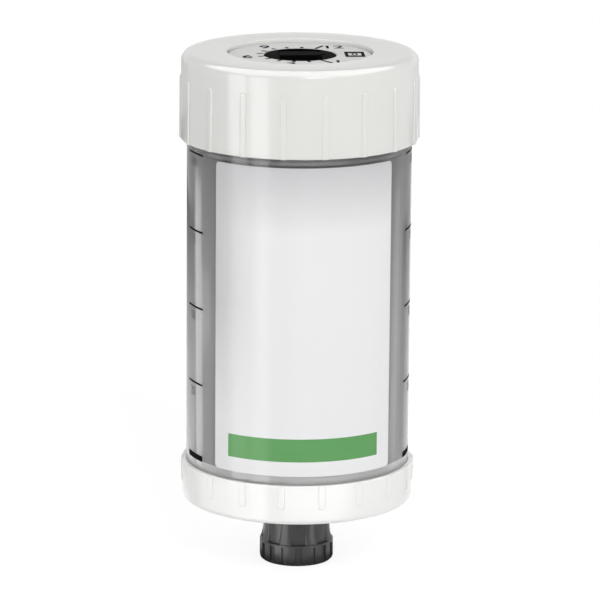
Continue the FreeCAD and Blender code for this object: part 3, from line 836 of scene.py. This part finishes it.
tube_marks = []
mark_middle = (mark_inner + mark_outer) / 2
mark_half = (mark_outer - mark_inner) / 2
for quarter in range(quarters + 1):
    level = charge_foot + charge_height * quarter / quarters
    high = level + empty_block if quarter == 0 else level + mark_line
    for side in (-1, 1):
        tube_marks.append(wrapped_patch(
            "mark", tube_radius + mark_lift, FRONT + marks_turn + side * mark_middle, mark_half,
            level, high))
level_marks = merge_pieces("level_marks", tube_marks)
dress(level_marks, black_print, "housing", "dial_black")

grey_print = finish_in("grey_print", shade(100), shade(114), 0.5, cloud_size=1.5, relief=0.001)
percent_marks = []
for quarter in range(1, quarters + 1):
    level = charge_foot + charge_height * quarter / quarters - percent_drop
    percent = str(100 * quarter // quarters)
    for side in (-1, 1):
        number = printed_number("percent", percent, percent_size, mark_lift, percent_weight)
        angle = math.radians(marks_turn + side * percent_angle)
        number.data.transform(
            Matrix.Rotation(angle, 4, "Z")
            @ Matrix.Translation(Vector((0, -tube_radius - 2 * mark_lift, level)) * MM)
            @ Matrix.Rotation(math.pi / 2, 4, "X"))
        percent_marks.append(number)
percents = merge_pieces("percent_marks", percent_marks)
wrap = percents.modifiers.new("wrap", "SHRINKWRAP")
wrap.target = tube
wrap.wrap_method = "NEAREST_SURFACEPOINT"
wrap.wrap_mode = "ABOVE_SURFACE"
wrap.offset = mark_lift * MM
bpy.ops.object.modifier_apply(modifier="wrap")
dress(percents, grey_print, "housing", "dial_black")


# ---- Label ----
# White polyester film, stuck round the front of the tube, its corners rounded. The printed
# bar near its foot is green; the rest is unprinted, with painted shade under the cap and to the
# left.
label_half_angle = 50.0
label_corner = 1.0
label_corner_steps = 6
label_gap = 0.012
label_thickness = 0.1
bar_half_angle = 41.0
bar_low = 3.3
bar_high = 8.5
label_strips = 96
top_shade_height = 15.0
side_shade_from = -9.5
side_shade_to = -19.0
side_shade_low = 12.0
side_shade_high = 38.0
_, label_foot, label_top = size_of("label")
label_height = label_top - label_foot
label_radius = tube_radius + label_gap
label_width = 2 * math.radians(label_half_angle) * label_radius
bar_half_width = math.radians(bar_half_angle) * label_radius
bpy.ops.object.select_all(action="DESELECT")
bpy.ops.mesh.primitive_plane_add(size=MM)
label = bpy.context.object
label.name = "label_film"
bpy.ops.object.mode_set(mode="EDIT")
bpy.ops.mesh.select_all(action="SELECT")
bpy.ops.transform.resize(value=(label_width, label_height, 1))
bpy.ops.transform.rotate(value=math.pi / 2, orient_axis="X", center_override=(0, 0, 0))
bpy.ops.mesh.bevel(offset=label_corner * MM, segments=label_corner_steps, affect="VERTICES")
cuts = [(label_width * (i / label_strips - 1 / 2), "X") for i in range(1, label_strips)]
cuts += [(-bar_half_width, "X"), (bar_half_width, "X")]
cuts += [(bar_low - label_height / 2, "Z"), (bar_high - label_height / 2, "Z")]
for place, way in cuts:
    bpy.ops.mesh.select_all(action="SELECT")
    spot = (place * MM, 0, 0) if way == "X" else (0, 0, place * MM)
    facing = (1, 0, 0) if way == "X" else (0, 0, 1)
    bpy.ops.mesh.bisect(plane_co=spot, plane_no=facing)
bpy.ops.object.mode_set(mode="OBJECT")
wrap = label.modifiers.new("wrap", "SIMPLE_DEFORM")
wrap.deform_method = "BEND"
wrap.deform_axis = "Z"
wrap.angle = 2 * math.radians(label_half_angle)
bpy.ops.object.modifier_apply(modifier="wrap")
label_seat = Vector((0, -label_radius, (label_foot + label_top) / 2)) * MM
label.data.transform(Matrix.Translation(label_seat))
turn_faces_out(label)
film = label.modifiers.new("film", "SOLIDIFY")
film.thickness = label_thickness * MM
film.offset = 1.0
bpy.ops.object.modifier_apply(modifier="film")
soften(label)
label_white = finish_in("white_film", shade(239, 239, 240), shade(242, 242, 243), 0.2,
                        cloud_size=20.0, grain_size=0.8, relief=0.001)
label_green = finish_in("green_print", shade(98, 159, 95), shade(106, 167, 103), 0.2,
                        cloud_size=20.0, grain_size=0.8, relief=0.002)
# Painted shade: the film darkens towards its left edge, more so higher up.
place = place_in(label_white)
side_shade_across = share_between(label_white, place["X"], side_shade_from, side_shade_to)
side_shade_rise = share_between(
    label_white, place["Z"], label_foot + side_shade_low, label_foot + side_shade_high)
side_shade_share = label_white.node_tree.nodes.new("ShaderNodeMath")
side_shade_share.operation = "MULTIPLY"
label_white.node_tree.links.new(side_shade_across, side_shade_share.inputs[0])
label_white.node_tree.links.new(side_shade_rise, side_shade_share.inputs[1])
fade_to(label_white, side_shade_share.outputs[0], shade(214, 214, 215))
# Painted shade: the film darkens under the cap, over its top stretch.
top_shade_share = share_between(label_white, place["Z"], label_top - top_shade_height, label_top)
fade_to(label_white, top_shade_share, shade(204, 204, 206))
for film_finish in (label_white, label_green):
    film_finish.node_tree.nodes["Principled BSDF"].inputs["Specular IOR Level"].default_value = 0.2
dress(label, label_white, "housing", "label_film", "label")
label.data.materials.append(label_green)
for face in label.data.polygons:
    centre = face.center
    turned_by = abs(math.degrees(math.atan2(centre.x, -centre.y)))
    level = centre.z / MM - label_foot
    if turned_by < bar_half_angle and bar_low < level < bar_high:
        face.material_index = 1


# ---- Grease ----
# The charge fills the tube below the piston and has a mesh of its own. It wets
# the walls, so it reaches a hair into them. What stands in the outlet's bore and in the gap
# round the base's floor are pieces of their own, as they stay where they are.
grease_wetting = 0.03
floor_radius = 23.7
seal_top = 22.65
outlet_bore = 2.75
grease_foot = charge_foot
grease_top = charge_foot + charge_height
head_shade_height = 36.0
outlet_segments = 48
_, outlet_foot, _ = size_of("grease")
charge = turned("grease_charge", [
    (0.0, grease_foot),
    (bore_radius + grease_wetting, grease_foot),
    (bore_radius + grease_wetting, grease_top),
    (0.0, grease_top),
], closed=False)
soften(charge)
grease_grey = finish_in("grey_grease", shade(150), shade(158), 0.45, cloud_size=14.0,
                        grain_size=2.5, relief=0.03)
# Painted shade: the grease darkens over its top stretch, as the shadow under the cap.
head_shade_share = share_between(
    grease_grey, place_in(grease_grey)["Z"], grease_top - head_shade_height, grease_top)
fade_to(grease_grey, head_shade_share, shade(116))
dress(charge, grease_grey, "housing", "grease", "grease")
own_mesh(charge)
outlet_grease = turned("grease_in_outlet", [
    (0.0, outlet_foot),
    (outlet_bore + grease_wetting, outlet_foot),
    (outlet_bore + grease_wetting, grease_foot),
    (0.0, grease_foot),
], outlet_segments, closed=False)
soften(outlet_grease)
dress(outlet_grease, grease_grey, "housing", "grease")
floor_grease = turned("grease_round_floor", [
    (floor_radius + grease_wetting, seal_top),
    (bore_radius + grease_wetting, seal_top),
    (bore_radius + grease_wetting, grease_foot),
    (floor_radius + grease_wetting, grease_foot),
])
soften(floor_grease)
grease_film = finish_in("thin_grease_film", shade(220), shade(228), 0.4, cloud_size=14.0,
                        grain_size=2.5, relief=0.01)
dress(floor_grease, grease_film, "housing", "grease")


# ---- Base ----
# Moulded foot in white polypropylene: a ring with eighteen short grip ribs, the floor
# under the grease, ribs below it and the outlet spigot with its R 1/4 taper thread.
base_draft = 0.25
base_foot_round = 1.2
base_rim_round = 0.3
base_height = 9.0
floor_rise = 2.0
socket_depth = 6.2
socket_gap = 0.05
floor_gap = 0.2
floor_wall = 2.5
floor_thickness = 2.0
hub_radius = 8.3
relief_radius = 6.09
base_edge = 0.1
base_ribs = 12
rib_thickness = 1.4
rib_recess = 1.0
rib_overlap = 0.5
base_grip_width = 1.6
base_grip_height = 0.2
base_grip_length = 5.45
thread_length = 10.6
thread_pitch = 1.337
thread_depth = 0.856
thread_taper = 1 / 32
thread_tip = 6.39
thread_overlap = 0.1
thread_steps = 72
thread_smooth_angle = 20.0
crest_flat = 0.18
outlet_mouth = 1.5
base_crest_radius, spigot_foot, base_floor = size_of("base")
base_radius = base_crest_radius - base_grip_height
rim = base_floor - floor_rise
base_foot = rim - base_height
thread_top = spigot_foot + thread_length
thread_root = thread_tip + thread_length * thread_taper
floor_under = base_floor - floor_thickness
floor_outer = bore_radius - floor_gap
socket_outer = tube_radius + socket_gap
base = turned("base_moulding", [
    (outlet_bore, spigot_foot),
    (thread_tip - thread_depth, spigot_foot),
    (thread_root - thread_depth, thread_top),
    (relief_radius, thread_top),
    (relief_radius, base_foot),
    (hub_radius, base_foot),
    (hub_radius, floor_under),
    (floor_outer - floor_wall, floor_under),
    (floor_outer - floor_wall, base_foot),
    (base_radius - base_draft, base_foot),
    (base_radius, rim),
    (socket_outer, rim),
    (socket_outer, rim - socket_depth),
    (floor_outer, rim - socket_depth),
    (floor_outer, base_floor),
    (outlet_bore + outlet_mouth, base_floor),
    (outlet_bore, base_floor - outlet_mouth),
])
round_rings(base, [(base_radius - base_draft, base_foot)], base_foot_round, 8)
round_rings(base, [(base_radius, rim)], base_rim_round, 4)
rib_from = hub_radius - rib_overlap
rib_to = floor_outer - floor_wall + rib_overlap
rib_foot = base_foot + rib_recess
rib_top = floor_under + rib_overlap
rib = block(((rib_from + rib_to) / 2, 0, (rib_foot + rib_top) / 2),
            (rib_to - rib_from, rib_thickness, rib_top - rib_foot))
combine(base, set_round(rib, base_ribs, FRONT), "UNION")
base_grip = grip_bar(
    (base_radius, rim),
    (base_radius - base_draft * base_grip_length / base_height, rim - base_grip_length),
    base_grip_width, base_grip_height)
combine(base, set_round(base_grip, grips, FRONT + grip_phase), "UNION")
soften(base, base_edge)
base_white = finish_in("white_base_plastic", shade(249, 249, 247), shade(252, 252, 250), 0.2,
                       relief=0.002)
dress(base, base_white, "housing", "white_gloss", "base")
light_alone("base_lamps", base, "base_left_lamp", "base_front_lamp")

# One tooth of the thread, drawn as an open line, swept up its helix and trimmed at both ends.
bpy.ops.object.select_all(action="DESELECT")
bpy.ops.mesh.primitive_plane_add(size=MM)
thread = bpy.context.object
mesh = open_piece(thread)
root = thread_tip - thread_depth - thread_overlap
tooth = [(root, -thread_pitch / 2), (thread_tip, -crest_flat / 2),
         (root, thread_pitch / 2), (thread_tip, crest_flat / 2)]
for v, (radius, height) in zip(mesh.verts, tooth):
    v.co = Vector((radius, 0, height)) * MM
bmesh.update_edit_mesh(thread.data)
bpy.ops.mesh.select_all(action="SELECT")
bpy.ops.mesh.delete(type="ONLY_FACE")
mesh = bmesh.from_edit_mesh(thread.data)
for edge in mesh.edges:
    edge.select_set(all(v.co.x < (root + touch) * MM for v in edge.verts))
bmesh.update_edit_mesh(thread.data)
bpy.ops.mesh.delete(type="EDGE")
close_piece()
helix = thread.modifiers.new("helix", "SCREW")
helix.angle = 2 * math.pi
helix.screw_offset = thread_pitch * MM
helix.iterations = math.ceil(thread_length / thread_pitch) + 1
helix.steps = thread_steps
helix.render_steps = thread_steps
helix.use_merge_vertices = True
helix.merge_threshold = weld
pick(thread)
bpy.ops.object.modifier_apply(modifier="helix")
thread.name = "outlet_thread"
mesh = open_piece(thread)
for v in mesh.verts:
    grown = 1 + thread_taper * v.co.z / MM / thread_tip
    v.co.x *= grown
    v.co.y *= grown
    v.co.z += spigot_foot * MM
bmesh.update_edit_mesh(thread.data)
for level, facing in ((spigot_foot, -1), (thread_top, 1)):
    bpy.ops.mesh.select_all(action="SELECT")
    bpy.ops.mesh.bisect(plane_co=(0, 0, level * MM), plane_no=(0, 0, facing), clear_outer=True)
bpy.ops.mesh.select_all(action="SELECT")
bpy.ops.mesh.remove_doubles(threshold=weld)
bpy.ops.mesh.normals_make_consistent(inside=False)
close_piece()
soften(thread, angle=thread_smooth_angle)
dress(thread, base_white, "housing", "white_gloss")


# ---- Outlet plug ----
# Screw-on closure, moulded in black polyethylene: eight ribs flare down its neck to a grip
# collar with sixteen notches.
plug_segments = 128
plug_wall_end = 1.15
neck_radius = 7.5
plug_bore = 6.82
plug_edge = 0.08
collar_height = 4.9
collar_foot_round = 1.0
collar_top_round = 0.25
collar_band = 0.6
notch_count = 16
notch_width = 1.4
notch_depth = 0.5
notch_margin = 1.0
plug_ribs = 8
plug_rib_phase = -22.4
rib_top_width = 1.3
rib_foot_width = 3.2
rib_top_reach = 0.12
rib_foot_reach = 0.72
rib_flare_height = 3.2
rib_flare_steps = 8
rib_edge = 0.5
rib_edge_steps = 3
rib_root_sink = 0.2
rib_foot_sink = 0.5
flare_sink = 0.25
collar_radius, plug_foot, plug_top = size_of("outlet_plug")
plug = turned("plug_body", [
    (0.0, plug_foot),
    (collar_radius, plug_foot),
    (collar_radius, collar_height),
    (neck_radius, collar_height),
    (neck_radius, plug_top),
    (plug_bore, plug_top),
    (plug_bore, plug_wall_end),
    (0.0, plug_wall_end),
], plug_segments, closed=False)
round_rings(plug, [(collar_radius, plug_foot)], collar_foot_round, 6)
round_rings(plug, [(collar_radius, collar_height)], collar_top_round, 3)
rib_root = plug_bore + rib_root_sink
rib_foot = collar_height - rib_foot_sink
rib_crest = neck_radius + rib_foot_reach
plug_rib = block(((rib_root + rib_crest) / 2, 0, (rib_foot + plug_top) / 2),
                 (rib_crest - rib_root, rib_foot_width, plug_top - rib_foot))
open_piece(plug_rib)
flare_drop = rib_flare_height + flare_sink
flare_grow = rib_foot_reach - rib_top_reach
flare_bend = (flare_grow ** 2 + flare_drop ** 2) / (2 * flare_grow)
flare_top = collar_height + rib_flare_height
for i in range(rib_flare_steps + 1):
    level = flare_top - flare_drop * i / rib_flare_steps
    bpy.ops.mesh.select_all(action="SELECT")
    bpy.ops.mesh.bisect(plane_co=(0, 0, level * MM), plane_no=(0, 0, 1))
mesh = bmesh.from_edit_mesh(plug_rib.data)
for v in mesh.verts:
    level = v.co.z / MM
    share = (level - rib_foot) / (plug_top - rib_foot)
    v.co.y *= 1 + (rib_top_width / rib_foot_width - 1) * share
    if v.co.x > rib_root * MM + weld:
        drop = min(max(flare_top - level, 0.0), flare_drop)
        grown = flare_bend - math.sqrt(flare_bend ** 2 - drop ** 2)
        v.co.x = (neck_radius + rib_top_reach + grown) * MM
for edge in mesh.edges:
    outer = all(v.co.x > rib_root * MM + weld for v in edge.verts)
    lengthways = abs(edge.verts[0].co.z - edge.verts[1].co.z) > weld
    edge.select_set(outer and lengthways)
bmesh.update_edit_mesh(plug_rib.data)
bpy.ops.mesh.select_mode(type="EDGE")
bpy.ops.mesh.bevel(
    offset=rib_edge * MM, segments=rib_edge_steps, affect="EDGES", clamp_overlap=False)
close_piece()
combine(plug, set_round(plug_rib, plug_ribs, FRONT + plug_rib_phase), "UNION")
notch_top = collar_height - collar_band
notch = block(
    (collar_radius - notch_depth + notch_margin, 0, (notch_top - notch_margin) / 2),
    (2 * notch_margin, notch_width, notch_top + notch_margin))
combine(plug, set_round(notch, notch_count, FRONT + plug_rib_phase))
soften(plug, plug_edge)
plug_black = finish_in("black_polyethylene", shade(52), shade(60), 0.3, cloud_size=4.0,
                       grain_size=0.3, relief=0.01)
plug_black.node_tree.nodes["Principled BSDF"].inputs["Specular IOR Level"].default_value = 0.45
dress(plug, plug_black, "outlet_plug", "plug_black", "outlet_plug")
light_alone("plug_lamps", plug, "plug_lamp")


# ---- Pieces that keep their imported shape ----
# The piston is moulded in dark plastic and the seals in rubber. Cells are nickelled steel cans,
# contacts are stamped metal and the circuit board is lacquered. Each kind has its own finish.
kept_finishes = {
    "dark_piston_plastic": (("piston",), shade(134), shade(144), 0.45, 0.0),
    "black_seal_rubber": (
        ("upper_lip_seal", "base_seal", "drive_seal", "dial_seal",
         "gas_cell_seal", "plug_seal"), shade(34), shade(42), 0.6, 0.0),
    "grey_seal_rubber": (("lower_lip_seal",), shade(116), shade(124), 0.6, 0.0),
    "white_cover_plastic": (("drive_cover",), shade(214), shade(220), 0.5, 0.0),
    "nickelled_cell_steel": (("gas_cell", "battery_left", "battery_right"),
                             shade(190), shade(206), 0.3, 1.0),
    "contact_spring_metal": (
        ("battery_link", "gas_cell_contact", "battery_left_contact", "battery_right_contact",
         "dial_clip", "dial_wiper"), shade(196, 180, 150), shade(212, 196, 164), 0.3, 1.0),
    "green_board_lacquer": (("circuit_board",), shade(26, 84, 50), shade(34, 98, 58), 0.35, 0.0),
    "black_chip_resin": (("control_chip",), shade(28), shade(36), 0.5, 0.0),
}
for name, (nodes_dressed, dark, light, roughness, metallic) in kept_finishes.items():
    material = finish_in(name, dark, light, roughness, cloud_size=4.0)
    material.node_tree.nodes["Principled BSDF"].inputs["Metallic"].default_value = metallic
    for node in nodes_dressed:
        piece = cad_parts[node]
        piece.data.materials.clear()
        piece.data.materials.append(material)
